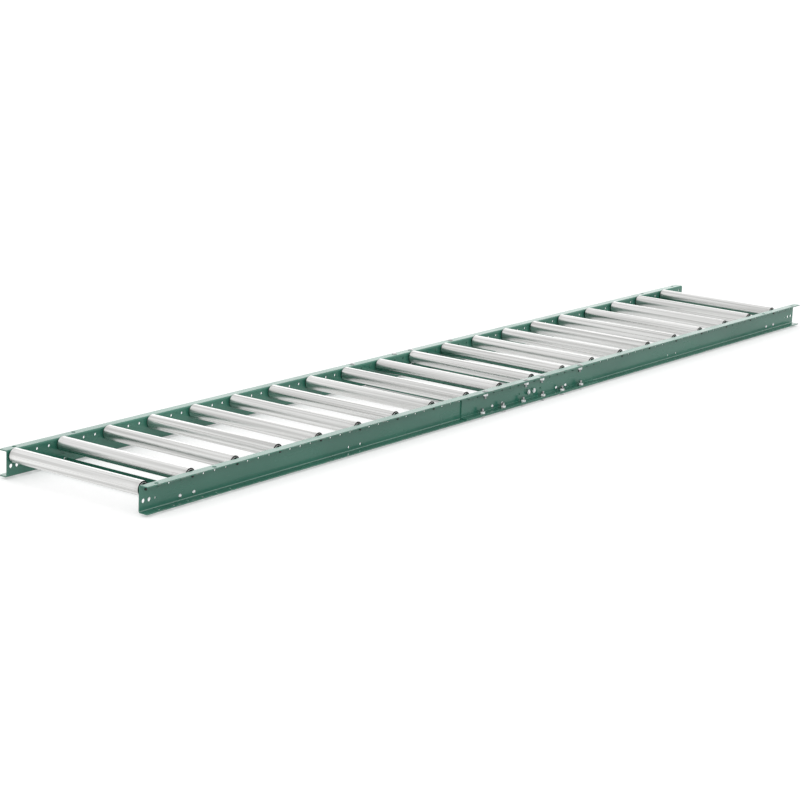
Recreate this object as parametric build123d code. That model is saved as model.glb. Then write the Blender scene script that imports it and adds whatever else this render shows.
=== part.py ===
from build123d import *
import os

# A ten-foot gravity roller conveyor: two five-foot sections spliced end to end.
# X runs along the conveyor, Y across it and Z up. The origin is under the middle of
# the conveyor, at the height of the undersides of the lower splice bolt heads.

inch = 25.4

# Side rails: pressed channels with their flanges turned outwards
section_length = 60 * inch
between_rails = 16 * inch
rail_height = 2.5 * inch
rail_flange = 1.0 * inch
rail_thickness = 2.66
bend_radius = 2.0

# Punched row of hexagonal axle holes along a whole section, and the rollers that use every fourth hole
rollers_per_section = 10
holes_per_roller = 4
roller_pitch = section_length / rollers_per_section
axle_hole_pitch = roller_pitch / holes_per_roller
first_axle = axle_hole_pitch / 2
axle_height = 2.0 * inch
axle_across_flats = 6.35
axle_projection = 2.0
axle_clearance = 0.15

# Rollers
tube_diameter = 1.375 * inch
tube_wall = 1.25
hub_length = 5.2
hub_diameter = 12.5
bearing_width = 9.0
bearing_inset = 0.8
running_clearance = 0.05
hub_seat_gap = 0.05

# Round holes in the webs and flanges, measured from either end of a section
end_hole_places = (0.5 * inch, 1.25 * inch)
end_hole_diameter = 10.5
locating_hole_place = 2.0 * inch
locating_hole_diameter = 6.5
end_hole_height = 1.0 * inch
top_hole_places = (1.5 * inch, 9.0 * inch)
lower_hole_pitch = 1.875 * inch
lower_hole_count = 6
flange_hole_offset = 14.0
flange_hole_diameter = 10.5
brace_place = 6.0625 * inch
brace_bolt_spacing = 1.8125 * inch
brace_hole_diameter = 7.1
brace_hole_height = 0.5 * inch

# Splice channels nested in the rails across the joint
splice_length = 25 * inch
splice_flange = 21.0
splice_thickness = 2.66
nesting_gap = 0.1
splice_bolt_steps = (1, 3, 5)

# Cross braces: shallow trays with bolt tabs turned up at both ends
brace_width = 2.75 * inch
brace_lip = 13.0
brace_thickness = 1.9
brace_tab_height = 24.0
brace_tab_relief = 0.5

# Splice fasteners, 5/16 inch: hexagon heads below and at the joint, low round heads on the upper flanges
splice_bolt = 0.3125 * inch
splice_bolt_flats = 0.5 * inch
splice_nut_height = 6.7
lower_head_height = 6.0
joint_head_height = 5.3
upper_head_height = 3.2
upper_head_diameter = 15.9
flange_thread_overhang = 7.0

# Brace fasteners, 1/4 inch: low round heads outside the webs and hexagon nuts inside
brace_bolt = 0.25 * inch
brace_nut_flats = 0.4375 * inch
brace_nut_height = 5.5
brace_head_height = 2.8
brace_head_diameter = 10.5

# Both kinds
round_head_crown = 0.57
web_thread_overhang = 1.8
thread_clearance = 0.05

# Worked out from the sizes above
rail_base = lower_head_height
web_inside = between_rails / 2
web_outside = web_inside + rail_thickness
splice_outside = web_outside + nesting_gap + splice_thickness
flange_hole_y = web_outside + flange_hole_offset
axle_z = rail_base + axle_height
tube_bore = tube_diameter - 2 * tube_wall


def both_ends(places, length):
    """Places measured from one end of a length, and the same from the other end."""
    return [*places, *(length - place for place in places)]


def roller_places():
    """X of every roller, the same in both sections."""
    starts = (-section_length, 0)
    steps = range(rollers_per_section)
    return [start + first_axle + roller_pitch * step for start in starts for step in steps]


def brace_places():
    """X of every cross brace's middle."""
    starts = (-section_length, 0)
    places = both_ends([brace_place], section_length)
    return [start + place for start in starts for place in places]


def pair_around(places):
    """X of the two brace bolts about each place."""
    half_spacing = brace_bolt_spacing / 2
    return [place + offset for place in places for offset in (-half_spacing, half_spacing)]


def channel(length, height, flange, thickness):
    """Channel along +X with its web's back on Y = 0 and its flanges turned to -Y."""
    outline = Rectangle(flange, height, align=(Align.MAX, Align.MIN))
    outline = fillet(outline.vertices().group_by(Axis.X)[-1], bend_radius + thickness)
    hollow_shape = Rectangle(flange, height - 2 * thickness, align=(Align.MAX, Align.MIN))
    hollow = fillet(hollow_shape.vertices().group_by(Axis.X)[-1], bend_radius)
    profile = outline - Pos(-thickness, thickness) * hollow
    return extrude(Plane.YZ * profile, length)


def hole_along_y(x, z, diameter, reach):
    """Round cutter through a web."""
    return Pos(x, 0, z) * Rot(90, 0, 0) * Cylinder(diameter / 2, reach)


def hole_along_z(x, y, z, diameter, reach):
    """Round cutter through a flange."""
    return Pos(x, y, z) * Cylinder(diameter / 2, reach)


def hexagon_along_y(across_flats, length):
    """Hexagonal bar along Y, centred on the origin, with corners up and down."""
    radius = across_flats / 3**0.5
    shape = Plane.XZ * RegularPolygon(radius, 6, rotation=30)
    return extrude(shape, length / 2, both=True)


def axle_hole_cutters(first):
    """Hexagonal cutters for one section's punched row of axle holes, from the first hole's X."""
    cutter = hexagon_along_y(axle_across_flats + 2 * axle_clearance, 4 * rail_flange)
    steps = range(rollers_per_section * holes_per_roller)
    return [Pos(first + axle_hole_pitch * step, 0, axle_height) * cutter for step in steps]


def rail_section():
    """One side rail of one section, from X = 0, with its back on Y = 0 and its underside on Z = 0."""
    rail = channel(section_length, rail_height, rail_flange, rail_thickness)
    reach = 4 * rail_thickness
    flange_y = -rail_thickness - flange_hole_offset
    middle = section_length / 2
    cutters = axle_hole_cutters(first_axle)
    for x in both_ends(end_hole_places, section_length):
        cutters.append(hole_along_y(x, end_hole_height, end_hole_diameter, reach))
    for x in both_ends([locating_hole_place], section_length):
        cutters.append(hole_along_y(x, end_hole_height, locating_hole_diameter, reach))
    for x in pair_around([*both_ends([brace_place], section_length), middle]):
        cutters.append(hole_along_y(x, brace_hole_height, brace_hole_diameter, reach))
    for x in both_ends(top_hole_places, section_length):
        cutters.append(hole_along_z(x, flange_y, rail_height, flange_hole_diameter, reach))
    lower_places = [lower_hole_pitch * (step + 1) for step in range(lower_hole_count)]
    for x in both_ends(lower_places, section_length):
        cutters.append(hole_along_z(x, flange_y, 0, flange_hole_diameter, reach))
    return rail - cutters


def splice_bolt_places():
    """X, from the joint, of the bolts in the upper flange, the lower flange and the web."""
    upper = [side * place for side in (-1, 1) for place in top_hole_places]
    lower = [side * step * lower_hole_pitch for side in (-1, 1) for step in splice_bolt_steps]
    web = [side * end_hole_places[0] for side in (-1, 1)]
    return upper, lower, web


def splice_channel():
    """Channel that nests in a rail across the joint, in the rail's own frame with the joint on X = 0."""
    height = rail_height - 2 * rail_thickness - 2 * nesting_gap
    back = rail_thickness + nesting_gap
    base = rail_thickness + nesting_gap
    plain = channel(splice_length, height, splice_flange, splice_thickness)
    splice = Pos(-splice_length / 2, -back, base) * plain
    reach = 8 * rail_thickness
    flange_y = -rail_thickness - flange_hole_offset
    upper, lower, web = splice_bolt_places()
    locating = (-locating_hole_place, locating_hole_place)
    cutters = axle_hole_cutters(first_axle - section_length) + axle_hole_cutters(first_axle)
    cutters += [hole_along_z(x, flange_y, rail_height, flange_hole_diameter, reach) for x in upper]
    cutters += [hole_along_z(x, flange_y, 0, flange_hole_diameter, reach) for x in lower]
    cutters += [hole_along_y(x, end_hole_height, end_hole_diameter, reach) for x in web]
    cutters += [hole_along_y(x, end_hole_height, locating_hole_diameter, reach) for x in locating]
    braced = pair_around([-brace_place, brace_place])
    cutters += [hole_along_y(x, brace_hole_height, brace_hole_diameter, reach) for x in braced]
    return splice - cutters


def cross_brace():
    """Tray along Y with lips along both long sides and bolt tabs turned up against the webs."""
    end = web_inside
    lip_height = brace_lip
    inner_width = brace_width - 2 * brace_thickness
    bend_outside = bend_radius + brace_thickness
    outline = Rectangle(brace_width, lip_height, align=(Align.CENTER, Align.MIN))
    outline = fillet(outline.vertices().group_by(Axis.Y)[0], bend_outside)
    hollow = Rectangle(inner_width, lip_height, align=(Align.CENTER, Align.MIN))
    hollow = fillet(hollow.vertices().group_by(Axis.Y)[0], bend_radius)
    profile = outline - Pos(0, brace_thickness) * hollow
    tray = extrude(Plane.XZ * profile, end - bend_outside, both=True)
    tab_width = inner_width - 2 * brace_tab_relief
    fold_outline = Rectangle(2 * bend_outside, brace_tab_height, align=(Align.MAX, Align.MIN))
    fold_outline = fillet(fold_outline.vertices().group_by(Axis.X)[-1].sort_by(Axis.Y)[0], bend_outside)
    fold_hollow = Rectangle(2 * bend_outside, brace_tab_height, align=(Align.MAX, Align.MIN))
    fold_hollow = fillet(fold_hollow.vertices().group_by(Axis.X)[-1].sort_by(Axis.Y)[0], bend_radius)
    fold = fold_outline - Pos(-brace_thickness, brace_thickness) * fold_hollow
    tab = Pos(0, end, 0) * extrude(Plane.YZ * fold, tab_width / 2, both=True)
    brace = tray + tab + mirror(tab, Plane.XZ)
    reach = 4 * between_rails
    cutters = [hole_along_y(x, brace_hole_height, brace_hole_diameter, reach) for x in pair_around([0])]
    return brace - cutters


def roller_tube():
    """Tube along Y, centred on its axis."""
    length = between_rails - 2 * hub_length
    tube = Cylinder(tube_diameter / 2, length) - Cylinder(tube_bore / 2, length)
    return Rot(90, 0, 0) * tube


def bearing():
    """Ball bearing unit that fills a tube end, with its hub's face on Y = 0 and its body towards +Y."""
    body_start = hub_length + bearing_inset - hub_seat_gap
    body_radius = tube_bore / 2 - running_clearance
    hub = Cylinder(hub_diameter / 2, body_start, align=(Align.CENTER, Align.CENTER, Align.MIN))
    body = Cylinder(body_radius, bearing_width, align=(Align.CENTER, Align.CENTER, Align.MIN))
    turned = Rot(-90, 0, 0) * (hub + Pos(0, 0, body_start) * body)
    bore = hexagon_along_y(axle_across_flats + 2 * thread_clearance, 8 * bearing_width)
    return turned - bore


def shank(diameter, length):
    """Bolt shank, drawn with six sides, from Z = 0 up +Z."""
    return extrude(RegularPolygon(diameter / 2, 6), length)


def hexagon_bolt(diameter, across_flats, head_height, length):
    """Bolt with a hexagon head under Z = 0 and its shank up +Z."""
    head = extrude(RegularPolygon(across_flats / 3**0.5, 6), -head_height)
    return head + shank(diameter, length)


def round_bolt(diameter, head_diameter, head_height, length):
    """Bolt with a low round head under Z = 0, narrower at its crown, and its shank up +Z."""
    seat = head_diameter / 2
    crown = seat * round_head_crown
    head = Cone(crown, seat, head_height, align=(Align.CENTER, Align.CENTER, Align.MAX))
    return head + shank(diameter, length)


def nut(diameter, across_flats, height):
    """Hexagon nut standing on Z = 0, its bore drawn with six sides as the shank is."""
    bore = RegularPolygon(diameter / 2 + thread_clearance, 6)
    return extrude(RegularPolygon(across_flats / 3**0.5, 6) - bore, height)


def flange_fastener_places():
    """Where each flange bolt's head and nut seat: X, Y, the head's Z, the nut's Z and which way the bolt points."""
    upper, lower, _ = splice_bolt_places()
    clamped = rail_thickness + nesting_gap + splice_thickness
    top = rail_base + rail_height
    places = []
    for y in (-flange_hole_y, flange_hole_y):
        places += [(x, y, top, top - clamped, -1) for x in upper]
        places += [(x, y, rail_base, rail_base + clamped, 1) for x in lower]
    return places


def flange_fasteners():
    """Bolts and nuts that clamp the splice channels' flanges to the rails' flanges."""
    clamped = rail_thickness + nesting_gap + splice_thickness
    length = clamped + splice_nut_height + flange_thread_overhang
    over = Rot(180, 0, 0)
    lower_bolt = hexagon_bolt(splice_bolt, splice_bolt_flats, lower_head_height, length)
    upper_bolt = over * round_bolt(splice_bolt, upper_head_diameter, upper_head_height, length)
    lower_nut = nut(splice_bolt, splice_bolt_flats, splice_nut_height)
    upper_nut = over * lower_nut
    bolts = []
    nuts = []
    for x, y, head_z, nut_z, way in flange_fastener_places():
        bolts.append(Pos(x, y, head_z) * (lower_bolt if way > 0 else upper_bolt))
        nuts.append(Pos(x, y, nut_z) * (lower_nut if way > 0 else upper_nut))
    return Compound(bolts), Compound(nuts)


def outer_seat(x):
    """Distance from the middle to the outside of the web at X, splice channel included."""
    return splice_outside if abs(x) < splice_length / 2 else web_outside


def outwards(side):
    """Turn of a fastener whose shank points out of the conveyor's side; side is -1 or 1."""
    return Rot(-90 * side, 0, 0)


def joint_fasteners():
    """Bolts and nuts through both webs beside the joint, heads inside."""
    _, _, places = splice_bolt_places()
    z = rail_base + end_hole_height
    length = splice_outside - web_inside + splice_nut_height + web_thread_overhang
    one_bolt = hexagon_bolt(splice_bolt, splice_bolt_flats, joint_head_height, length)
    one_nut = nut(splice_bolt, splice_bolt_flats, splice_nut_height)
    spots = [(x, side) for x in places for side in (-1, 1)]
    bolts = [Pos(x, side * web_inside, z) * outwards(side) * one_bolt for x, side in spots]
    nuts = [Pos(x, side * splice_outside, z) * outwards(side) * one_nut for x, side in spots]
    return Compound(bolts), Compound(nuts)


def brace_fasteners():
    """Bolts and nuts that hold the brace tabs to the webs, heads outside."""
    z = rail_base + brace_hole_height
    tab_inside = web_inside - brace_thickness
    one_nut = nut(brace_bolt, brace_nut_flats, brace_nut_height)
    bolts = []
    nuts = []
    for x in pair_around(brace_places()):
        length = outer_seat(x) - tab_inside + brace_nut_height + web_thread_overhang
        one_bolt = round_bolt(brace_bolt, brace_head_diameter, brace_head_height, length)
        for side in (-1, 1):
            bolts.append(Pos(x, side * outer_seat(x), z) * outwards(-side) * one_bolt)
            nuts.append(Pos(x, side * tab_inside, z) * outwards(-side) * one_nut)
    return Compound(bolts), Compound(nuts)


def bearings(side):
    """The bearing units at one side's roller ends; side is -1 or 1."""
    unit = Pos(0, hub_seat_gap, 0) * bearing()
    turned = unit if side < 0 else Rot(0, 0, 180) * unit
    return Compound([Pos(x, side * web_inside, axle_z) * turned for x in roller_places()])


def axles():
    """Hexagonal axles, one per roller, reaching through both rails."""
    length = 2 * (web_outside + axle_projection)
    bar = hexagon_along_y(axle_across_flats, length)
    return Compound([Pos(x, 0, axle_z) * bar for x in roller_places()])


def build_nodes():
    """Every node of the conveyor by name."""
    nodes = {}
    rail = rail_section()
    right = Pos(0, -web_inside, rail_base)
    left = Pos(0, web_inside, rail_base) * Rot(0, 0, 180)
    nodes["right_rail_first"] = right * Pos(-section_length, 0, 0) * rail
    nodes["right_rail_second"] = right * rail
    nodes["left_rail_first"] = left * rail
    nodes["left_rail_second"] = left * Pos(-section_length, 0, 0) * rail
    splice = splice_channel()
    nodes["right_splice_channel"] = right * splice
    nodes["left_splice_channel"] = left * splice
    brace = cross_brace()
    for number, x in enumerate(brace_places(), 1):
        nodes[f"cross_brace_{number}"] = Pos(x, 0, rail_base) * brace
    tube = roller_tube()
    for number, x in enumerate(roller_places(), 1):
        nodes[f"roller_tube_{number:02d}"] = Pos(x, 0, axle_z) * tube
    nodes["right_bearings"] = bearings(-1)
    nodes["left_bearings"] = bearings(1)
    nodes["roller_axles"] = axles()
    nodes["flange_bolts"], nodes["flange_nuts"] = flange_fasteners()
    nodes["joint_bolts"], nodes["joint_nuts"] = joint_fasteners()
    nodes["brace_bolts"], nodes["brace_nuts"] = brace_fasteners()
    return nodes


os.makedirs("parts", exist_ok=True)
for name, shape in build_nodes().items():
    export_step(shape, f"parts/{name}.step")
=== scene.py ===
"""Dressed model of a ten-foot gravity roller conveyor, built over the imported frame.

Side rails, splice channels and cross braces keep their frame shapes and get paint. Rollers,
bearings, axles, bolts and nuts are replaced by finer surfaces, each worked out on a grid of
two parameters. Sizes are in millimetres and become metres when a mesh is made.
"""

import logging
from collections.abc import Iterable, Sequence
from dataclasses import dataclass, field
from enum import Enum
from math import radians

import bmesh
import bpy
import numpy as np
from mathutils import Matrix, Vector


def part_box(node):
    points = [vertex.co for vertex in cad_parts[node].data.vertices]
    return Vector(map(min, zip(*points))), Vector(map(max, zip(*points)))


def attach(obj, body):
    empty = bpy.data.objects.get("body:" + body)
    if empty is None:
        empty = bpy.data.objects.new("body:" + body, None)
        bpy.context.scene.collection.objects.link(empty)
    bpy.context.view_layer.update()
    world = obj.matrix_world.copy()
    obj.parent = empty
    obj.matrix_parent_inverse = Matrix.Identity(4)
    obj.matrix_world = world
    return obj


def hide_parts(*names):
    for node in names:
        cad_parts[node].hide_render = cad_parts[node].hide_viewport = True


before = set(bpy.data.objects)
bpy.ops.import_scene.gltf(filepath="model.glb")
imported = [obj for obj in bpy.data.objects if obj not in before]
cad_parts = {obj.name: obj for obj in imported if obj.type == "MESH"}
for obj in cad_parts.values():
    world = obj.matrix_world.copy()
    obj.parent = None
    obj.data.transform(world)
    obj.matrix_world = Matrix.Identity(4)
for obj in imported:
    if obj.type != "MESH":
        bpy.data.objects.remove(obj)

log = logging.getLogger("roller_conveyor")

Array = np.ndarray
Socket = bpy.types.NodeSocket
Colour = tuple[float, float, float]
Triple = tuple[float, float, float]
Pair = tuple[float, float]
Row = tuple[Array | float, Array | float]

MILLIMETRE = 0.001
WELD_DISTANCE = 1e-6  # Points closer than this, in metres, become one.
CORNERS_UP = 30.0  # First corner, in degrees, of a hexagon with corners up and down.
CONE_FALL = np.tan(np.pi / 6.0)  # How steeply the cone that chamfers heads and nuts falls.
NOISE_SPAN: Pair = (0.3, 0.7)  # Nearly all of a noise pattern lies between these values.
WHITE: Colour = (1.0, 1.0, 1.0)


# Surfaces on grids


def around(columns: int) -> Array:
    """Evenly spaced angles of one full turn, in radians, without repeating the first."""
    return np.linspace(0.0, 2.0 * np.pi, columns, endpoint=False)


def hexagon(angles: Array, turned: float = 0.0) -> Array:
    """How far a hexagon's edge lies from its middle, for half a flat-to-flat width of one.

    Formula: one over the cosine of the angle left after whole sixths of a turn are taken
    off, counted from the middle of a flat.

    Args:
        angles: Angles about the middle, in radians.
        turned: Turn of the first corner, in degrees.

    Returns:
        One distance per angle, from 1 at a flat's middle to 1.155 at a corner.
    """
    sixth = np.pi / 3.0
    return 1.0 / np.cos(np.mod(angles - np.radians(turned), sixth) - sixth / 2.0)


def rings(rows: Sequence[Row], angles: Array) -> Array:
    """Surface made of rings about the Z axis.

    Formula: a ring's point at an angle is radius times cosine, radius times sine, height.
    Radius and height are one number for a round and level ring, or one number per angle.

    Args:
        rows: Radius and height of each ring, in millimetres.
        angles: Angles of the columns, in radians.

    Returns:
        Points with the shape rings by columns by three.
    """
    radius = np.stack([np.broadcast_to(row[0], angles.shape) for row in rows])
    height = np.stack([np.broadcast_to(row[1], angles.shape) for row in rows])
    return np.stack([radius * np.cos(angles), radius * np.sin(angles), height], axis=2)


class Facing(Enum):
    """Where a surface's own Z axis points on the conveyor, as the rows of a turn."""

    UP = ((1, 0, 0), (0, 1, 0), (0, 0, 1))
    DOWN = ((1, 0, 0), (0, -1, 0), (0, 0, -1))
    LEFT = ((1, 0, 0), (0, 0, 1), (0, -1, 0))
    RIGHT = ((1, 0, 0), (0, 0, -1), (0, 1, 0))

    @property
    def turn(self) -> Array:
        """The turn as a three by three array."""
        return np.array(self.value, float)

    @classmethod
    def outwards(cls, side: int) -> "Facing":
        """Facing away from the conveyor's middle on a side: -1 is right, 1 is left."""
        return cls.LEFT if side > 0 else cls.RIGHT


class Crispness(Enum):
    """How far an edge may turn, in degrees, before it stays crisp on a kind of surface."""

    CUT = 25.0
    FORMED = 32.0
    BEADED = 50.0
    ROUND = 60.0


@dataclass
class Shell:
    """Closed surfaces gathered into one mesh."""

    points: list[Array] = field(default_factory=list)
    faces: list[Array] = field(default_factory=list)
    count: int = 0

    def add(
        self,
        grid: Array,
        places: Array,
        facing: Facing = Facing.UP,
        loop: bool = False,
    ) -> None:
        """Puts copies of one surface at several places.

        Args:
            grid: Points of the surface, rings by columns by three.
            places: One row of X, Y and Z per copy, in millimetres.
            facing: Where the surface's Z axis points.
            loop: True where the last ring joins the first, as on a tube with a wall.
        """
        rows, columns, _ = grid.shape
        turned = grid.reshape(-1, 3) @ facing.turn.T
        spots = np.atleast_2d(np.asarray(places, float))
        cloud = (turned[None, :, :] + spots[:, None, :]).reshape(-1, 3)
        bands = rows if loop else rows - 1
        row, column = np.meshgrid(np.arange(bands), np.arange(columns), indexing="ij")
        beside = (column + 1) % columns
        near, far = row * columns, ((row + 1) % rows) * columns
        corners = [near + column, near + beside, far + beside, far + column]
        quads = np.stack([corner.ravel() for corner in corners], axis=1)
        offsets = self.count + np.arange(len(spots)) * rows * columns
        self.points.append(cloud)
        self.faces.append((quads[None, :, :] + offsets[:, None, None]).reshape(-1, 4))
        self.count += len(cloud)

    def build(self, name: str, crisp: Crispness = Crispness.FORMED) -> bpy.types.Object:
        """Makes the mesh object, with poles merged, faces outwards and crisp edges kept.

        Args:
            name: Name of the piece.
            crisp: Which edges stay crisp.

        Returns:
            The object, at the origin with its place in its mesh.
        """
        points = np.concatenate(self.points) * MILLIMETRE
        faces = np.concatenate(self.faces)
        starts = np.arange(0, faces.size, faces.shape[1], dtype=np.int32)
        mesh = bpy.data.meshes.new(name)
        mesh.vertices.add(len(points))
        mesh.vertices.foreach_set("co", points.astype(np.float32).ravel())
        mesh.loops.add(faces.size)
        mesh.loops.foreach_set("vertex_index", faces.astype(np.int32).ravel())
        mesh.polygons.add(len(faces))
        mesh.polygons.foreach_set("loop_start", starts)
        mesh.update(calc_edges=True)
        shape = bmesh.new()
        shape.from_mesh(mesh)
        bmesh.ops.remove_doubles(shape, verts=shape.verts, dist=WELD_DISTANCE)
        bmesh.ops.recalc_face_normals(shape, faces=shape.faces)
        shape.to_mesh(mesh)
        shape.free()
        mesh.validate()
        mesh.shade_smooth()
        mesh.set_sharp_from_angle(angle=radians(crisp.value))
        piece = bpy.data.objects.new(name, mesh)
        bpy.context.scene.collection.objects.link(piece)
        return piece


# Finishes


class Axis(Enum):
    """Axes that a finish measures along, as places in a point."""

    ACROSS = 1
    UP = 2


@dataclass(frozen=True)
class Cloud:
    """A noise pattern and how it is read.

    Attributes:
        per_metre: How many features a metre holds along X, Y and Z.
        detail: Octaves of finer noise.
        span: Values of the noise that are read as 0 and 1.
        rough: Strength of the finer octaves.
    """

    per_metre: Triple
    detail: float
    span: Pair
    rough: float = 0.5


class Sketch:
    """A material's node tree in the making, read in Object coordinates."""

    def __init__(self, name: str) -> None:
        """Starts a material with one principled shader.

        Args:
            name: Name of the material.
        """
        self.material = bpy.data.materials.new(name)
        self.material.use_nodes = True
        tree = self.material.node_tree
        self.nodes, self.links = tree.nodes, tree.links
        self.shader = tree.nodes["Principled BSDF"]
        self.point = self.nodes.new("ShaderNodeTexCoord").outputs["Object"]

    def set(self, socket: str, value: float | Colour) -> None:
        """Sets a constant on one of the shader's own sockets."""
        target = self.shader.inputs[socket]
        target.default_value = (*value, 1.0) if isinstance(value, tuple) else value

    def feed(self, socket: str, source: Socket) -> None:
        """Drives one of the shader's sockets from a pattern."""
        self.links.new(source, self.shader.inputs[socket])

    def stretched(self, per_metre: Triple) -> Socket:
        """Scales the object's point along each axis, so that a pattern is drawn out.

        Args:
            per_metre: How many features a metre holds along X, Y and Z.

        Returns:
            The scaled point.
        """
        mapping = self.nodes.new("ShaderNodeMapping")
        mapping.inputs["Scale"].default_value = per_metre
        self.links.new(self.point, mapping.inputs["Vector"])
        return mapping.outputs["Vector"]

    def noise(self, per_metre: Triple, detail: float = 3.0, rough: float = 0.5) -> Socket:
        """Cloudy pattern.

        Args:
            per_metre: How many features a metre holds along X, Y and Z.
            detail: Octaves of finer noise.
            rough: Strength of the finer octaves.

        Returns:
            A value about 0.5.
        """
        node = self.nodes.new("ShaderNodeTexNoise")
        node.inputs["Scale"].default_value = 1.0
        node.inputs["Detail"].default_value = detail
        node.inputs["Roughness"].default_value = rough
        self.links.new(self.stretched(per_metre), node.inputs["Vector"])
        return node.outputs["Fac"]

    def cloud(self, cloud: Cloud, to_low: float = 0.0, to_high: float = 1.0) -> Socket:
        """A cloud's noise, stepped over its span onto a new range."""
        pattern = self.noise(cloud.per_metre, cloud.detail, cloud.rough)
        return self.window(pattern, *cloud.span, to_low, to_high)

    def window(
        self,
        value: Socket,
        low: float,
        high: float,
        to_low: float = 0.0,
        to_high: float = 1.0,
    ) -> Socket:
        """Smooth step of a value from low to high, clamped, onto a new range.

        Args:
            value: The value to read.
            low: Where the step starts.
            high: Where the step ends.
            to_low: Result at and before the start.
            to_high: Result at and after the end.

        Returns:
            The stepped value.
        """
        node = self.nodes.new("ShaderNodeMapRange")
        node.interpolation_type = "SMOOTHSTEP"
        numbers = {"From Min": low, "From Max": high, "To Min": to_low, "To Max": to_high}
        for socket, number in numbers.items():
            node.inputs[socket].default_value = number
        self.links.new(value, node.inputs["Value"])
        return node.outputs["Result"]

    def combine(
        self,
        operation: str,
        first: Socket,
        second: Socket | float | None = None,
    ) -> Socket:
        """Math on one or two values.

        Args:
            operation: What is done, such as MULTIPLY or ABSOLUTE.
            first: The first value.
            second: The second value, if the operation takes one.

        Returns:
            The result.
        """
        node = self.nodes.new("ShaderNodeMath")
        node.operation = operation
        self.links.new(first, node.inputs[0])
        if isinstance(second, float):
            node.inputs[1].default_value = second
        elif second is not None:
            self.links.new(second, node.inputs[1])
        return node.outputs["Value"]

    def mixed(self, first: Socket, second: Socket, share: float) -> Socket:
        """Sum of two patterns, with a share of the first and the rest of the second."""
        part = self.combine("MULTIPLY", first, share)
        return self.combine("ADD", part, self.combine("MULTIPLY", second, 1.0 - share))

    def along(self, axis: Axis) -> Socket:
        """Measures along one axis.

        Args:
            axis: The axis.

        Returns:
            Distance from the origin, either way, in metres.
        """
        node = self.nodes.new("ShaderNodeSeparateXYZ")
        self.links.new(self.point, node.inputs["Vector"])
        return self.combine("ABSOLUTE", node.outputs[axis.value])

    def beyond(self, axis: Axis, places: Pair, full: float = 1.0) -> Socket:
        """Mask that rises from 0 to full between two distances, in millimetres."""
        low, high = (place * MILLIMETRE for place in places)
        return self.window(self.along(axis), low, high, 0.0, full)

    def band(self, axis: Axis, start: float, steps: Triple) -> Socket:
        """Mask of a band of distances along an axis.

        Args:
            axis: Axis of the distance.
            start: Where the band starts, in millimetres.
            steps: How far past the start the mask is full, begins to fade and is gone.

        Returns:
            One in the band and 0 elsewhere.
        """
        full, fading, gone = ((start + step) * MILLIMETRE for step in steps)
        place = self.along(axis)
        rising = self.window(place, start * MILLIMETRE, full)
        return self.combine("MULTIPLY", rising, self.window(place, fading, gone, 1.0, 0.0))

    @staticmethod
    def colour_socket(sockets: Iterable[Socket], name: str) -> Socket:
        """The colour socket of a name, on a node that has one per kind of value."""
        return next(spot for spot in sockets if spot.name == name and spot.type == "RGBA")

    def blend(self, factor: Socket, start: Colour | Socket, end: Colour | Socket) -> Socket:
        """Mixes two colours by a factor.

        Args:
            factor: 0 gives the start and 1 the end.
            start: Colour or pattern at 0.
            end: Colour or pattern at 1.

        Returns:
            The mixed colour.
        """
        node = self.nodes.new("ShaderNodeMix")
        node.data_type = "RGBA"
        self.links.new(factor, node.inputs["Factor"])
        for name, colour in (("A", start), ("B", end)):
            target = self.colour_socket(node.inputs, name)
            if isinstance(colour, tuple):
                target.default_value = (*colour, 1.0)
            else:
                self.links.new(colour, target)
        return self.colour_socket(node.outputs, "Result")

    def emboss(self, height: Socket, depth: float, strength: float) -> None:
        """Raises the surface by a height pattern.

        Args:
            height: Pattern of the height, from 0 to 1.
            depth: Height of a full step, in metres.
            strength: How much of it shows.
        """
        node = self.nodes.new("ShaderNodeBump")
        node.inputs["Strength"].default_value = strength
        node.inputs["Distance"].default_value = depth
        self.links.new(height, node.inputs["Height"])
        self.feed("Normal", node.outputs["Normal"])


@dataclass(frozen=True)
class Finish:
    """A material and the slot of the record that it belongs to."""

    material: bpy.types.Material
    slot: str


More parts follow.
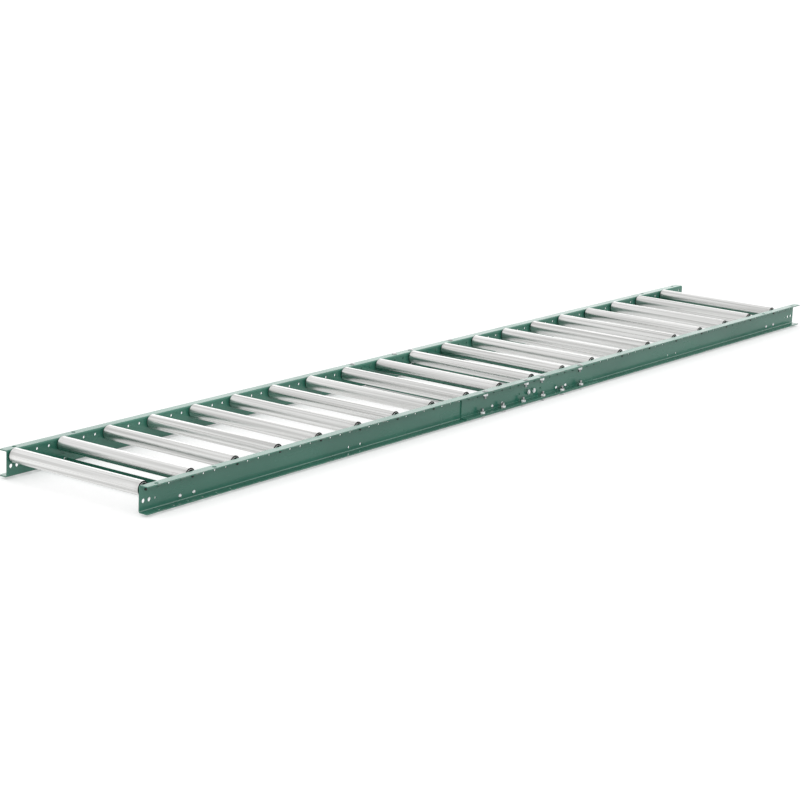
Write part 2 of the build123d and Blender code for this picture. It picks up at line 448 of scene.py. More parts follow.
@dataclass(frozen=True)
class GreenPaint:
    """Glossy green powder coat on rolled steel, with orange peel, faint scuffs, worn lips and a
    painted highlight along the rails' lower bend.

    Attributes:
        slot: The record's material slot.
        deep: Darker tone of the coat.
        light: Lighter tone of the coat.
        scuff: Colour of a scuff.
        primer: Colour where a lip is worn.
        bend_highlight: Colour of the painted highlight, a thin pale line in a rail's lower bend
            that stands for light the bend reflects.
        tones: Where the coat's tones lie.
        rubbed: The scuffs themselves, drawn out along the conveyor.
        patches: Where scuffs gather.
        flecks: The flecks of a worn lip.
        sheen: Where the coat is more or less glossy.
        scuff_share: How much of a scuff's colour shows.
        wear_share: How much of the primer shows.
        bend_highlight_share: How much of the painted highlight shows.
        lip: Distances across between which the flanges' lips begin, in millimetres.
        crease: Distance across and height at which the lower bend starts.
        crease_steps: Steps of the bend's mask past those places.
        gloss: Roughness of the glossiest and the dullest coat, and of a scuff.
        peel_per_metre: Features of the orange peel in a metre.
        peel_depth: Height of the orange peel, in metres.
        peel_strength: How much of the orange peel shows.
        refraction: Refractive index of the coat.
        clear: Weight and roughness of the clear film on top.
    """

    slot: str = "green_paint"
    deep: Colour = (0.036, 0.158, 0.112)
    light: Colour = (0.047, 0.188, 0.134)
    scuff: Colour = (0.16, 0.25, 0.21)
    primer: Colour = (0.20, 0.25, 0.22)
    # Painted highlight: a pale colour laid along the lower bend in place of light that the bend
    # reflects.
    bend_highlight: Colour = (0.34, 0.46, 0.41)
    tones: Cloud = Cloud((4.0, 9.0, 9.0), 2.0, (0.35, 0.65))
    rubbed: Cloud = Cloud((14.0, 260.0, 420.0), 5.0, (0.63, 0.78), 0.62)
    patches: Cloud = Cloud((5.0, 14.0, 30.0), 2.0, (0.48, 0.66))
    flecks: Cloud = Cloud((70.0, 300.0, 300.0), 4.0, (0.50, 0.60), 0.6)
    sheen: Cloud = Cloud((9.0, 25.0, 25.0), 3.0, NOISE_SPAN)
    scuff_share: float = 0.55
    wear_share: float = 0.7
    bend_highlight_share: float = 0.5
    lip: Pair = (228.35, 228.55)
    crease: Pair = (205.9, 8.7)
    crease_steps: Triple = (0.05, 1.5, 2.0)
    gloss: Triple = (0.16, 0.30, 0.45)
    peel_per_metre: Triple = (520.0, 520.0, 520.0)
    peel_depth: float = 0.00012
    peel_strength: float = 0.22
    refraction: float = 1.43
    clear: Pair = (0.12, 0.10)

    def in_crease(self, sketch: Sketch) -> Socket:
        """Mask of the bend between a rail's web and its lower flange, on the outer side, where
        the highlight is painted.

        Args:
            sketch: The material in the making.

        Returns:
            One in the bend and 0 elsewhere.
        """
        across, height = self.crease
        beside = sketch.band(Axis.ACROSS, across, self.crease_steps)
        above = sketch.band(Axis.UP, height, self.crease_steps)
        return sketch.combine("MULTIPLY", beside, above)

    def finish(self) -> Finish:
        """Makes the paint.

        Returns:
            The paint and its slot.
        """
        sketch = Sketch("green_powder_coat")
        rubbed, patches = sketch.cloud(self.rubbed), sketch.cloud(self.patches)
        scuffs = sketch.combine("MULTIPLY", rubbed, patches)
        edge = sketch.beyond(Axis.ACROSS, self.lip)
        worn = sketch.combine("MULTIPLY", edge, sketch.cloud(self.flecks))
        layers = (
            (scuffs, self.scuff_share, self.scuff),
            (worn, self.wear_share, self.primer),
            # Painted highlight along the lower bend, laid through the bend's mask.
            (self.in_crease(sketch), self.bend_highlight_share, self.bend_highlight),
        )
        coat = sketch.blend(sketch.cloud(self.tones), self.deep, self.light)
        for mask, share, colour in layers:
            coat = sketch.blend(sketch.combine("MULTIPLY", mask, share), coat, colour)
        sketch.feed("Base Color", coat)
        glossy, dull, scuffed = self.gloss
        smooth = sketch.cloud(self.sheen, glossy, dull)
        dulled = sketch.window(scuffs, 0.0, 1.0, 0.0, scuffed - dull)
        sketch.feed("Roughness", sketch.combine("ADD", smooth, dulled))
        peel = sketch.noise(self.peel_per_metre, detail=2.0)
        sketch.emboss(peel, self.peel_depth, self.peel_strength)
        sketch.set("IOR", self.refraction)
        sketch.set("Coat Weight", self.clear[0])
        sketch.set("Coat Roughness", self.clear[1])
        return Finish(sketch.material, self.slot)


@dataclass(frozen=True)
class GalvanisedTube:
    """Pale zinc-coated steel tube with long soft streaks and duller ends.

    Attributes:
        slot: The record's material slot.
        dark: Darker tone of the zinc.
        pale: Lighter tone of the zinc.
        stain: Colour of the blotches near the ends.
        broad_per_metre: Features of the broad streaks in a metre.
        narrow_per_metre: Features of the narrow streaks in a metre.
        fine_per_metre: Features of the fine scratches in a metre.
        broad_share: Share of the broad streaks in the colour.
        streaks: Values of the streaks that are read as dark and pale.
        end_band: Distances across between which the tube gets duller, in millimetres.
        end_share: How much of the blotches shows at the ends.
        blotches: The blotches near the ends.
        rough: Roughness along the smoothest and the roughest streak.
        blotch_rough: Roughness that a full blotch adds.
        fine_share: Height of the scratches beside that of the streaks.
        relief_depth: Height of the streaks, in metres.
        relief_strength: How much of that height shows.
    """

    slot: str = "galvanised_tube"
    dark: Colour = (0.54, 0.54, 0.53)
    pale: Colour = (0.81, 0.81, 0.80)
    stain: Colour = (0.42, 0.415, 0.40)
    broad_per_metre: Triple = (150.0, 1.2, 150.0)
    narrow_per_metre: Triple = (230.0, 1.3, 230.0)
    fine_per_metre: Triple = (700.0, 6.0, 700.0)
    broad_share: float = 0.55
    streaks: Pair = (0.36, 0.62)
    end_band: Pair = (176.0, 202.0)
    end_share: float = 0.35
    blotches: Cloud = Cloud((60.0, 45.0, 60.0), 3.0, (0.42, 0.68))
    rough: Pair = (0.26, 0.38)
    blotch_rough: float = 0.2
    fine_share: float = 0.3
    relief_depth: float = 0.00003
    relief_strength: float = 0.18

    def finish(self) -> Finish:
        """Makes the tube's zinc.

        Returns:
            The zinc and its slot.
        """
        sketch = Sketch("galvanised_steel")
        broad = sketch.noise(self.broad_per_metre, detail=2.0)
        narrow = sketch.noise(self.narrow_per_metre, detail=1.0)
        fine = sketch.noise(self.fine_per_metre, detail=1.0)
        streaks = sketch.window(sketch.mixed(broad, narrow, self.broad_share), *self.streaks)
        zinc = sketch.blend(streaks, self.dark, self.pale)
        ends = sketch.beyond(Axis.ACROSS, self.end_band, self.end_share)
        dulled = sketch.combine("MULTIPLY", ends, sketch.cloud(self.blotches))
        sketch.feed("Base Color", sketch.blend(dulled, zinc, self.stain))
        rough = sketch.window(narrow, *NOISE_SPAN, *self.rough)
        more = sketch.combine("MULTIPLY", dulled, self.blotch_rough)
        sketch.feed("Roughness", sketch.combine("ADD", rough, more))
        scratches = sketch.combine("MULTIPLY", fine, self.fine_share)
        relief = sketch.combine("ADD", narrow, scratches)
        sketch.emboss(relief, self.relief_depth, self.relief_strength)
        sketch.set("Metallic", 1.0)
        return Finish(sketch.material, self.slot)


@dataclass(frozen=True)
class SmallSteel:
    """Plain or plated steel of the small parts.

    The colour clouds between two tones, and fine tool marks are drawn out along one axis.

    Attributes:
        name: Name of the material.
        slot: The record's material slot.
        dark: Darker tone.
        pale: Lighter tone.
        rough: Roughness along the smoothest and the roughest mark.
        marks_per_metre: Features of the tool marks in a metre.
        cloud_per_metre: Features of the colour's clouds in a metre.
        cloud_share: Share of the clouds in the colour, beside the marks.
        tones: Values of the colour's pattern that are read as dark and pale.
        mark_depth: Height of the marks, in metres.
        mark_strength: How much of that height shows.
    """

    name: str
    slot: str
    dark: Colour
    pale: Colour
    rough: Pair
    marks_per_metre: Triple = (700.0, 700.0, 700.0)
    cloud_per_metre: Triple = (130.0, 130.0, 130.0)
    cloud_share: float = 0.65
    tones: Pair = (0.38, 0.62)
    mark_depth: float = 0.00002
    mark_strength: float = 0.3

    def finish(self) -> Finish:
        """Makes the steel.

        Returns:
            The steel and its slot.
        """
        sketch = Sketch(self.name)
        clouds = sketch.noise(self.cloud_per_metre, detail=3.0)
        marks = sketch.noise(self.marks_per_metre, detail=3.0, rough=0.6)
        tone = sketch.window(sketch.mixed(clouds, marks, self.cloud_share), *self.tones)
        sketch.feed("Base Color", sketch.blend(tone, self.dark, self.pale))
        sketch.feed("Roughness", sketch.window(marks, *NOISE_SPAN, *self.rough))
        sketch.emboss(marks, self.mark_depth, self.mark_strength)
        sketch.set("Metallic", 1.0)
        return Finish(sketch.material, self.slot)


class Finishes:
    """Every finish of the conveyor, made once and shared by the pieces."""

    def __init__(self) -> None:
        """Makes the finishes."""
        self.paint = GreenPaint().finish()
        self.tube = GalvanisedTube().finish()
        # Near-black cups: partly the bearing's own dark steel, partly painted shade of the gap
        # at the tube's end and of the bearing's recess.
        self.bearing = SmallSteel(
            "painted_shade_bearing_steel",
            "bearing_steel",
            dark=(0.010, 0.010, 0.010),
            pale=(0.030, 0.030, 0.029),
            rough=(0.32, 0.50),
        ).finish()
        self.race = SmallSteel(
            "ground_race_steel",
            "zinc_plate",
            dark=(0.52, 0.52, 0.51),
            pale=(0.74, 0.74, 0.73),
            rough=(0.18, 0.30),
        ).finish()
        self.axle = SmallSteel(
            "drawn_axle_steel",
            "axle_steel",
            dark=(0.020, 0.020, 0.019),
            pale=(0.055, 0.055, 0.052),
            rough=(0.36, 0.52),
            marks_per_metre=(900.0, 12.0, 900.0),
        ).finish()
        self.zinc = SmallSteel(
            "bright_zinc_plate",
            "zinc_plate",
            dark=(0.46, 0.48, 0.48),
            pale=(0.84, 0.86, 0.86),
            rough=(0.16, 0.34),
        ).finish()
        # Darker copy of the bright zinc, as painted shade: the lower flange bolts' heads sit in
        # shade under the flanges.
        self.shaded_zinc = SmallSteel(
            "painted_shade_zinc_plate",
            "zinc_plate",
            dark=(0.34, 0.35, 0.35),
            pale=(0.62, 0.63, 0.63),
            rough=(0.26, 0.42),
        ).finish()


def dress(piece: bpy.types.Object, finish: Finish, body: str, *nodes: str) -> None:
    """Gives a new piece its finish and its place in the frame.

    Args:
        piece: The new piece.
        finish: Its material and slot.
        body: The body that it moves with.
        nodes: The frame nodes that it stands for, if any.
    """
    piece.data.materials.append(finish.material)
    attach(piece, body)
    if nodes:
        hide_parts(*nodes)
    log.info("%s: %d faces, rides on %s", piece.name, len(piece.data.polygons), body)


# Sub-assemblies


@dataclass(frozen=True)
class Layout:
    """How many rollers there are and where the parts lie, in millimetres, as in the frame."""

    rollers: int = 20
    web_inside: float = 203.2
    sheet: float = 2.66
    nesting_gap: float = 0.1
    rail_base: float = 6.0
    rail_height: float = 63.5
    flange_hole_offset: float = 14.0
    splice_half: float = 317.5
    section: float = 1524.0
    brace_place: float = 153.9875
    brace_bolt_half: float = 23.01875
    brace_sheet: float = 1.9
    brace_bolt_height: float = 18.7
    joint_bolt_height: float = 31.4
    joint_bolt_place: float = 12.7

    @property
    def web_outside(self) -> float:
        """Outside of a rail's web from the middle."""
        return self.web_inside + self.sheet

    @property
    def splice_outside(self) -> float:
        """Outside of a splice channel's web from the middle."""
        return self.web_outside + self.nesting_gap + self.sheet

    @property
    def flange_bolt_line(self) -> float:
        """Line of the flange bolts from the middle."""
        return self.web_outside + self.flange_hole_offset

    @property
    def rail_top(self) -> float:
        """Height of the rails' upper faces."""
        return self.rail_base + self.rail_height

    @property
    def clamped(self) -> float:
        """Thickness of a rail's flange and a splice channel's flange together."""
        return 2.0 * self.sheet + self.nesting_gap

    def roller_points(self) -> Array:
        """Reads the rollers' places from the frame.

        Returns:
            Middle of every roller, in millimetres.
        """
        names = [f"roller_tube_{number:02d}" for number in range(1, self.rollers + 1)]
        corners = [[np.array(corner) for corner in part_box(name)] for name in names]
        return np.array([(low + high) / 2.0 for low, high in corners]) / MILLIMETRE

    def brace_bolt_places(self) -> Array:
        """Works out where the cross brace bolts are.

        Returns:
            Their places along the conveyor.
        """
        ends = np.array([self.brace_place, self.section - self.brace_place])
        middles = np.concatenate([ends - self.section, ends])
        return np.concatenate([middles - self.brace_bolt_half, middles + self.brace_bolt_half])


@dataclass
class SteelFrame:
    """Rails, splice channels and cross braces, whose frame shapes stay and are painted."""

    nodes: tuple[str, ...] = (
        "right_rail_first",
        "right_rail_second",
        "left_rail_first",
        "left_rail_second",
        "right_splice_channel",
        "left_splice_channel",
        "cross_brace_1",
        "cross_brace_2",
        "cross_brace_3",
        "cross_brace_4",
    )

    def paint(self, finishes: Finishes) -> None:
        """Puts the paint on every node's material slots.

        Args:
            finishes: The conveyor's finishes.
        """
        for name in self.nodes:
            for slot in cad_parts[name].material_slots:
                slot.material = finishes.paint.material
            log.info("%s: painted", name)


@dataclass
class Roller:
    """One roller: a tube with rounded ends, and in each end a near-black flanged cup, whose
    colour is partly painted shade, and a bright bead.

    Attributes:
        radius: Outer radius of the tube.
        wall: Thickness of its wall.
        half_length: Half its length.
        end_round: Rounding of its ends' outer edges.
        round_steps: Rings of one rounding.
        bore_edge: Chamfer of its ends' inner edges, across and along.
        bore_depth: Distance of the bore's inner ring from an end.
        tube_columns: Points round the tube.
        cup_columns: Points round a cup or bead.
        cup_radius: Radius from which the cup's profile is measured inwards.
        cup_face: Distance across from which its profile is measured back into the tube.
        cup_profile: The cup's section, inwards and back.
        bead_profile: The bead's section, as radius and distance across.
    """

    radius: float = 17.4625
    wall: float = 1.25
    half_length: float = 198.0
    end_round: float = 1.1
    round_steps: int = 6
    bore_edge: Pair = (0.08, 0.12)
    bore_depth: float = 12.0
    tube_columns: int = 72
    cup_columns: int = 48
    cup_radius: float = 16.19
    cup_face: float = 196.2
    cup_profile: tuple[Pair, ...] = (
        (0.0, 7.9),
        (0.0, -1.82),
        (-0.75, -1.82),
        (-0.95, -2.05),
        (-0.95, -2.35),
        (-0.65, -2.65),
        (1.2, -2.65),
        (1.55, -2.3),
        (1.55, 0.0),
        (5.0, 0.0),
        (5.3, 0.4),
        (5.5, 1.0),
        (5.5, 2.2),
        (5.2, 2.8),
        (4.85, 3.5),
        (5.2, 4.2),
        (5.5, 4.8),
        (5.5, 7.6),
        (5.2, 7.9),
    )
    bead_profile: tuple[Pair, ...] = (
        (14.3, 196.2),
        (14.3, 198.7),
        (14.22, 199.2),
        (14.0, 199.55),
        (13.65, 199.7),
        (13.3, 199.55),
        (13.08, 199.2),
        (13.0, 198.7),
        (13.0, 196.2),
    )

    def tube_surface(self) -> Array:
        """The tube's wall as one closed loop of rings.

        Formula: the loop runs along the outside, round a quarter turn onto each end face,
        and back along the bore. A quarter turn's ring lies inside the outer radius by the
        rounding times one less the cosine, and short of the corner by it times one less the
        sine, of an angle from 0 to 90 degrees.

        Returns:
            Points of the surface about the Z axis.
        """
        turn = np.linspace(0.0, np.pi / 2.0, self.round_steps)
        outer = self.radius - self.end_round * (1.0 - np.cos(turn))
        reach = self.half_length - self.end_round * (1.0 - np.sin(turn))
        bore = self.radius - self.wall
        across, along = self.bore_edge
        right = [(float(r), float(z)) for r, z in zip(outer, reach)]
        right.append((bore + across, self.half_length))
        right.append((bore, self.half_length - along))
        right.append((bore, self.half_length - self.bore_depth))
        left = [(r, -z) for r, z in reversed(right)]
        return rings(right + left, around(self.tube_columns))

    def cup_surface(self) -> Array:
        """One cup as a closed loop of rings, with its Z axis out of the tube's end.

        Formula: a ring's radius and distance across are the cup's own, less the profile's.

        Returns:
            Points of the surface about the Z axis.
        """
        profile = np.array(self.cup_profile)
        rows = np.array([self.cup_radius, self.cup_face]) - profile
        return rings(rows.tolist(), around(self.cup_columns))

    def bead_surface(self) -> Array:
        """One bead as a closed loop of rings, with its Z axis out of the tube's end."""
        return rings(self.bead_profile, around(self.cup_columns))

    def build(self, number: int, middle: Array, finishes: Finishes) -> None:
        """Makes the roller's tube, cups and beads.

        Args:
            number: Number of the roller from the first end.
            middle: Middle of the roller, in millimetres.
            finishes: The conveyor's finishes.
        """
        body = f"roller_{number:02d}"
        shell = Shell()
        shell.add(self.tube_surface(), middle, Facing.LEFT, loop=True)
        tube = shell.build(f"tube_{number:02d}")
        dress(tube, finishes.tube, body, f"roller_tube_{number:02d}")
        cups, beads = Shell(), Shell()
        for facing in (Facing.LEFT, Facing.RIGHT):
            cups.add(self.cup_surface(), middle, facing, loop=True)
            beads.add(self.bead_surface(), middle, facing, loop=True)
        # The cups' near-black colour is partly painted shade of the gap and recess at each end.
        dress(cups.build(f"bearing_cups_{number:02d}"), finishes.bearing, body)
        shields = beads.build(f"bearing_shields_{number:02d}", Crispness.BEADED)
        dress(shields, finishes.race, body)


@dataclass
class BearingSide:
    """Inner races with their hubs, and the balls, of all the bearings on one side.

    Attributes:
        side: -1 is the right side and 1 the left.
        bore_half: Half the width of the hexagonal bore between flats.
        bore_edge: Chamfer of the bore's outer end, across and along.
        race_columns: Points round a race.
        ball_radius: Radius of a ball.
        ball_line: Radius of the circle on which the balls lie.
        ball_depth: Distance across of that circle.
        balls: Balls in one bearing.
        ball_rings: Rings of a ball from pole to pole.
        ball_columns: Points round a ball.
        race_profile: Outside of race and hub, as radius and distance across.
    """

    side: int
    bore_half: float = 3.225
    bore_edge: Pair = (0.25, 0.3)
    race_columns: int = 36
    ball_radius: float = 2.05
    ball_line: float = 8.95
    ball_depth: float = 192.7
    balls: int = 11
    ball_rings: int = 6
    ball_columns: int = 8
    race_profile: tuple[Pair, ...] = (
        (7.4, 188.4),
        (7.7, 188.7),
        (7.7, 191.6),
        (6.95, 192.0),
        (6.65, 192.7),
        (6.95, 193.4),
        (7.7, 193.8),
        (7.7, 196.9),
        (7.35, 197.2),
        (6.25, 197.2),
        (6.25, 202.75),
        (5.85, 203.15),
    )

    def race_surface(self) -> Array:
        """Race and hub as a closed loop of rings round a hexagonal bore.

        Formula: the outside rings are round and the bore's rings follow a hexagon with
        corners up and down.

        Returns:
            Points of the surface about the Z axis.
        """
        angles = around(self.race_columns)
        bore = self.bore_half * hexagon(angles, CORNERS_UP)
        back, face = self.race_profile[0][1], self.race_profile[-1][1]
        across, along = self.bore_edge
        rows = [*self.race_profile, (bore + across, face), (bore, face - along), (bore, back)]
        return rings(rows, angles)

    def ball_surface(self) -> Array:
        """A ball as rings from pole to pole.

        Formula: ring radius and height are the ball's radius times the sine and the cosine
        of an angle from the pole.

        Returns:
            Points of the surface about the Z axis.
        """
        polar = np.linspace(0.0, np.pi, self.ball_rings)
        rows = self.ball_radius * np.stack([np.sin(polar), np.cos(polar)], axis=1)
        return rings(rows.tolist(), around(self.ball_columns))

    def build(self, middles: Array, finishes: Finishes) -> None:
        """Makes the races and balls.

        Args:
            middles: Middles of the rollers, in millimetres.
            finishes: The conveyor's finishes.
        """
        word = "left" if self.side > 0 else "right"
        shell = Shell()
        shell.add(self.race_surface(), middles, Facing.outwards(self.side), loop=True)
        races = shell.build(f"{word}_bearing_races")
        dress(races, finishes.race, "frame", f"{word}_bearings")
        angle = around(self.balls)
        circle = np.stack([np.cos(angle), np.zeros_like(angle), np.sin(angle)], axis=1)
        circle *= self.ball_line
        circle[:, 1] = self.side * self.ball_depth
        balls = Shell()
        spots = (middles[:, None, :] + circle[None, :, :]).reshape(-1, 3)
        balls.add(self.ball_surface(), spots)
        dress(balls.build(f"{word}_bearing_balls", Crispness.ROUND), finishes.race, "frame")


@dataclass
class Axles:
    """Hexagonal axle bars with turned chamfers on their ends.

    Attributes:
        across_flats: Width of a bar between flats.
        half_length: Half its length.
        face_share: Width of its end face's circle beside the bar's.
        chamfer_slope: Fall of the chamfer along the bar for each millimetre outwards.
        columns: Points round a bar.
    """

    across_flats: float = 6.35
    half_length: float = 207.86
    face_share: float = 0.80
    chamfer_slope: float = 0.6
    columns: int = 24

    def build(self, middles: Array, finishes: Finishes) -> None:
        """Makes all the axles as one piece.

        Formula: rings follow a hexagon with corners up and down. On the chamfer a ring's
        height falls below the end by the slope times its radius past the end face's circle.

        Args:
            middles: Middles of the rollers, in millimetres.
            finishes: The conveyor's finishes.
        """
        angles = around(self.columns)
        side = self.across_flats / 2.0 * hexagon(angles, CORNERS_UP)
        face = self.across_flats / 2.0 * self.face_share
        shoulder = self.half_length - self.chamfer_slope * (side - face)
        rows = [(0.0, self.half_length), (face, self.half_length), (side, shoulder)]
        rows += [(side, -shoulder), (face, -self.half_length), (0.0, -self.half_length)]
        shell = Shell()
        shell.add(rings(rows, angles), middles, Facing.LEFT)
        bars = shell.build("axle_bars", Crispness.CUT)
        dress(bars, finishes.axle, "frame", "roller_axles")


@dataclass(frozen=True)
class Fastener:
    """Sizes of a bolt and its nut, in millimetres, and their surfaces.

    Both stand on Z = 0 where they clamp: a head lies below it, a nut above it.

    Attributes:
        shank: Diameter of the shank.
        across_flats: Width of head and nut between flats.
        nut_height: Height of the nut.
        thread_pitch: Pitch of the thread.
        overhang: How far the shank stands out of the nut.
        hex_head: Height of a hexagon head.
        round_head: Height of a round head.
        round_radius: Radius of a round head.
        head_edge: Height of a round head's straight edge.
        crown_power: Power of a round head's curve.
        crown_rings: Rings of that curve.
        washer_face: Height of the round face under a hexagon head.
        face_share: Radius of a chamfer's circle beside the width between flats.
        thread_share: Depth of the thread beside its pitch.
        thread_step: Greatest step between the thread's rings.
        thread_start: How far inside the nut's top the thread is drawn from.
        plain_end: How far inside the nut's top the plain shank ends.
        thread_end: How far short of the shank's end the thread stops.
        tip_share: How far the shank's end draws in beside the pitch.
        bore_play: Play of the nut's bore round the shank.
        bore_edges: Chamfers of the nut's bore, below and above.
        columns: Points round bolt and nut.
    """

    shank: float
    across_flats: float
    nut_height: float
    thread_pitch: float
    overhang: float
    hex_head: float = 5.3
    round_head: float = 3.2
    round_radius: float = 7.95
    head_edge: float = 0.5
    crown_power: float = 2.4
    crown_rings: int = 9
    washer_face: float = 0.4
    face_share: float = 0.475
    thread_share: float = 0.45
    thread_step: float = 0.2
    thread_start: float = 0.4
    plain_end: float = 0.6
    thread_end: float = 0.5
    tip_share: float = 0.5
    bore_play: float = 0.02
    bore_edges: Pair = (0.4, 0.45)
    columns: int = 24

    def sides(self) -> tuple[Array, Array, float]:
        """Works out the hexagon that head and nut share.

        Returns:
            Angles, the hexagon's radius at each, and the radius of the chamfer's circle.
        """
        angles = around(self.columns)
        side = self.across_flats / 2.0 * hexagon(angles)
        return angles, side, self.face_share * self.across_flats

    def shank_rows(self, grip: float) -> list[Row]:
        """Rings of a shank from its head's seat to its thread's end.

        Formula: the free thread's radius is the shank's less a share of the thread's depth,
        which is a wave of height over pitch less the turn.

        Args:
            grip: Thickness between head and nut.

        Returns:
            Radius and height of each ring.
        """
        angles = around(self.columns)
        radius, pitch = self.shank / 2.0, self.thread_pitch
        nut_top = grip + self.nut_height
        end = nut_top + self.overhang
        rows: list[Row] = [(radius, 0.0), (radius, nut_top - self.plain_end)]
        length = self.overhang + self.thread_start - self.thread_end
        steps = int(np.ceil(length / self.thread_step))
        first, last = nut_top - self.thread_start, end - self.thread_end
        for height in np.linspace(first, last, steps):
            wave = 0.5 - 0.5 * np.cos(2.0 * np.pi * height / pitch - angles)
            rows.append((radius - self.thread_share * pitch * wave, height))
        return [*rows, (radius - self.tip_share * pitch, end), (0.0, end)]

    def hex_bolt(self, grip: float) -> Array:
        """A hexagon bolt.

        Formula: the head's side follows a hexagon, and its face is cut by a cone of 30
        degrees, so a corner's height falls by its radius past the face's circle times the
        tangent of 30 degrees.

        Args:
            grip: Thickness between head and nut.

        Returns:
            Points of the surface about the Z axis.
        """
        angles, side, circle = self.sides()
        top = -self.hex_head
        shoulder = top + CONE_FALL * (side - circle)
        rows: list[Row] = [(0.0, top), (circle, top), (side, shoulder)]
        rows += [(side, -self.washer_face), (circle, -self.washer_face), (circle, 0.0)]
        return rings(rows + self.shank_rows(grip), angles)

    def round_bolt(self, grip: float) -> Array:
        """A bolt with a low round head.

        Formula: above its straight edge the head's height is what is left of it times one
        less a power of the radius over the edge's radius.

        Args:
            grip: Thickness between head and nut.

        Returns:
            Points of the surface about the Z axis.
        """
        share = np.linspace(0.0, 1.0, self.crown_rings)
        arch = 1.0 - share**self.crown_power
        crown = self.head_edge + (self.round_head - self.head_edge) * arch
        rows: list[Row] = list(zip(share * self.round_radius, -crown))
        rows.append((self.round_radius, 0.0))
        return rings(rows + self.shank_rows(grip), around(self.columns))

    def nut(self) -> Array:
        """A nut as a closed loop of rings.

        Formula: both faces are cut by the same cone as a head's.

        Returns:
            Points of the surface about the Z axis.
        """
        angles, side, circle = self.sides()
        fall = CONE_FALL * (side - circle)
        bore, top = self.shank / 2.0 + self.bore_play, self.nut_height
        low, high = self.bore_edges
        rows: list[Row] = [(bore, low), (bore + low, 0.0), (circle, 0.0), (side, fall)]
        rows += [(side, top - fall), (circle, top), (bore + high, top), (bore, top - high)]
        return rings(rows, angles)


@dataclass
class Fasteners:
    """The flange, joint and brace bolts with their nuts."""

    layout: Layout
    flange: Fastener = Fastener(7.9375, 12.7, 6.7, 1.4111, 7.0, hex_head=6.0)
    joint: Fastener = Fastener(7.9375, 12.7, 6.7, 1.4111, 1.8)
    brace: Fastener = Fastener(
        6.35, 11.1125, 5.5, 1.27, 1.8, round_head=2.8, round_radius=5.25
    )
    upper_places: tuple[float, ...] = (-228.6, -38.1, 38.1, 228.6)
    lower_places: tuple[float, ...] = (-238.125, -142.875, -47.625, 47.625, 142.875, 238.125)

    @staticmethod
    def fit(shell: Shell, name: str, finish: Finish, node: str) -> None:
        """Makes one piece of fasteners on the frame, in place of a frame node."""
        dress(shell.build(name, Crispness.CUT), finish, "frame", node)

    def flange_row(self, finishes: Finishes) -> None:
        """Makes the bolts and nuts that clamp the splice channels' flanges to the rails'.

        Args:
            finishes: The conveyor's finishes.
        """
        layout, grip = self.layout, self.layout.clamped
        line = layout.flange_bolt_line
        round_bolt, hex_bolt = self.flange.round_bolt(grip), self.flange.hex_bolt(grip)
        bolts, nuts = Shell(), Shell()
        rows = (
            (self.upper_places, round_bolt, layout.rail_top, -1.0, Facing.DOWN),
            (self.lower_places, hex_bolt, layout.rail_base, 1.0, Facing.UP),
        )
        for places, bolt, seat, way, facing in rows:
            spots = np.array([(x, side * line, seat) for x in places for side in (-1, 1)])
            bolts.add(bolt, spots, facing)
            nuts.add(self.flange.nut(), spots + (0.0, 0.0, way * grip), facing, loop=True)
        # The bolts take the darker zinc, painted shade for the lower heads that sit under the
        # flanges.
        self.fit(bolts, "flange_bolt_row", finishes.shaded_zinc, "flange_bolts")
        self.fit(nuts, "flange_nut_row", finishes.zinc, "flange_nuts")

    def joint_pairs(self, finishes: Finishes) -> None:
        """Makes the bolts and nuts through the webs beside the joint, with heads inside.

        Args:
            finishes: The conveyor's finishes.
        """
        inside, outside = self.layout.web_inside, self.layout.splice_outside
        place, height = self.layout.joint_bolt_place, self.layout.joint_bolt_height
        bolt = self.joint.hex_bolt(outside - inside)
        bolts, nuts = Shell(), Shell()
        for side in (-1, 1):
            facing = Facing.outwards(side)
            for x in (-place, place):
                bolts.add(bolt, np.array([(x, side * inside, height)]), facing)
                seat = np.array([(x, side * outside, height)])
                nuts.add(self.joint.nut(), seat, facing, loop=True)
        self.fit(bolts, "joint_bolt_pairs", finishes.zinc, "joint_bolts")
        self.fit(nuts, "joint_nut_pairs", finishes.zinc, "joint_nuts")

    def brace_pairs(self, finishes: Finishes) -> None:
        """Makes the brace bolts, with heads outside, and their nuts, painted as the braces.

        Args:
            finishes: The conveyor's finishes.
        """
        layout, height = self.layout, self.layout.brace_bolt_height
        tab = layout.web_inside - layout.brace_sheet
        bolts, nuts = Shell(), Shell()
        for x in layout.brace_bolt_places():
            at_splice = abs(x) < layout.splice_half
            outer = layout.splice_outside if at_splice else layout.web_outside
            bolt = self.brace.round_bolt(outer - tab)
            for side in (-1, 1):
                facing = Facing.outwards(-side)
                bolts.add(bolt, np.array([(x, side * outer, height)]), facing)
                seat = np.array([(x, side * tab, height)])
                nuts.add(self.brace.nut(), seat, facing, loop=True)
        self.fit(bolts, "brace_bolt_pairs", finishes.zinc, "brace_bolts")
        self.fit(nuts, "brace_nut_pairs", finishes.paint, "brace_nuts")

    def build(self, finishes: Finishes) -> None:
        """Makes every fastener.

        Args:
            finishes: The conveyor's finishes.
        """
        self.flange_row(finishes)
        self.joint_pairs(finishes)
        self.brace_pairs(finishes)


# Studio


